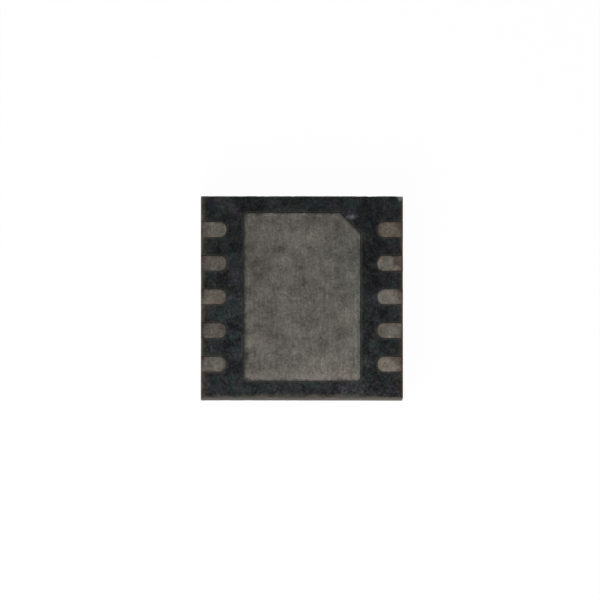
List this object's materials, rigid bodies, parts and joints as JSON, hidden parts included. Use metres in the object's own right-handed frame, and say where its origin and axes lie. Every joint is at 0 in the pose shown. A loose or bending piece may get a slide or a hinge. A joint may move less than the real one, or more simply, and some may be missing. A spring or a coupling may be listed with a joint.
{
  "type": "integrated circuit",
  "caption": "Flat square leadless chip package lying on its marked face, with flat lands down two sides round a large land with one cut corner.",
  "frame": {"origin": "centre of the footprint, on the plane of the marked face that the part lies on", "axes": "+Z out of the solder face, +X from the second row of lands to the first, +Y towards the first land and the cut corner"},
  "size_m": [0.003, 0.003, 0.0008],
  "materials": {
    "mould_compound": "matte black filled epoxy, finely grained, with sawn sides",
    "plated_copper": "copper with matte tin on the lands, finely streaked",
    "silver_epoxy": "satin silver-filled epoxy",
    "silicon": "polished silicon under glass",
    "gold": "drawn gold wire"
  },
  "bodies": {
    "root": {"mould_body": "mould_compound", "die_paddle": "plated_copper", "lead_1": "plated_copper", "lead_2": "plated_copper", "lead_3": "plated_copper", "lead_4": "plated_copper", "lead_5": "plated_copper", "lead_6": "plated_copper", "lead_7": "plated_copper", "lead_8": "plated_copper", "lead_9": "plated_copper", "lead_10": "plated_copper", "die_attach": "silver_epoxy", "silicon_die": "silicon", "wire_1": "gold", "wire_2": "gold", "wire_3": "gold", "wire_4": "gold", "wire_5": "gold", "wire_6": "gold", "wire_7": "gold", "wire_8": "gold", "wire_9": "gold", "wire_10": "gold"}
  },
  "joints": []
}
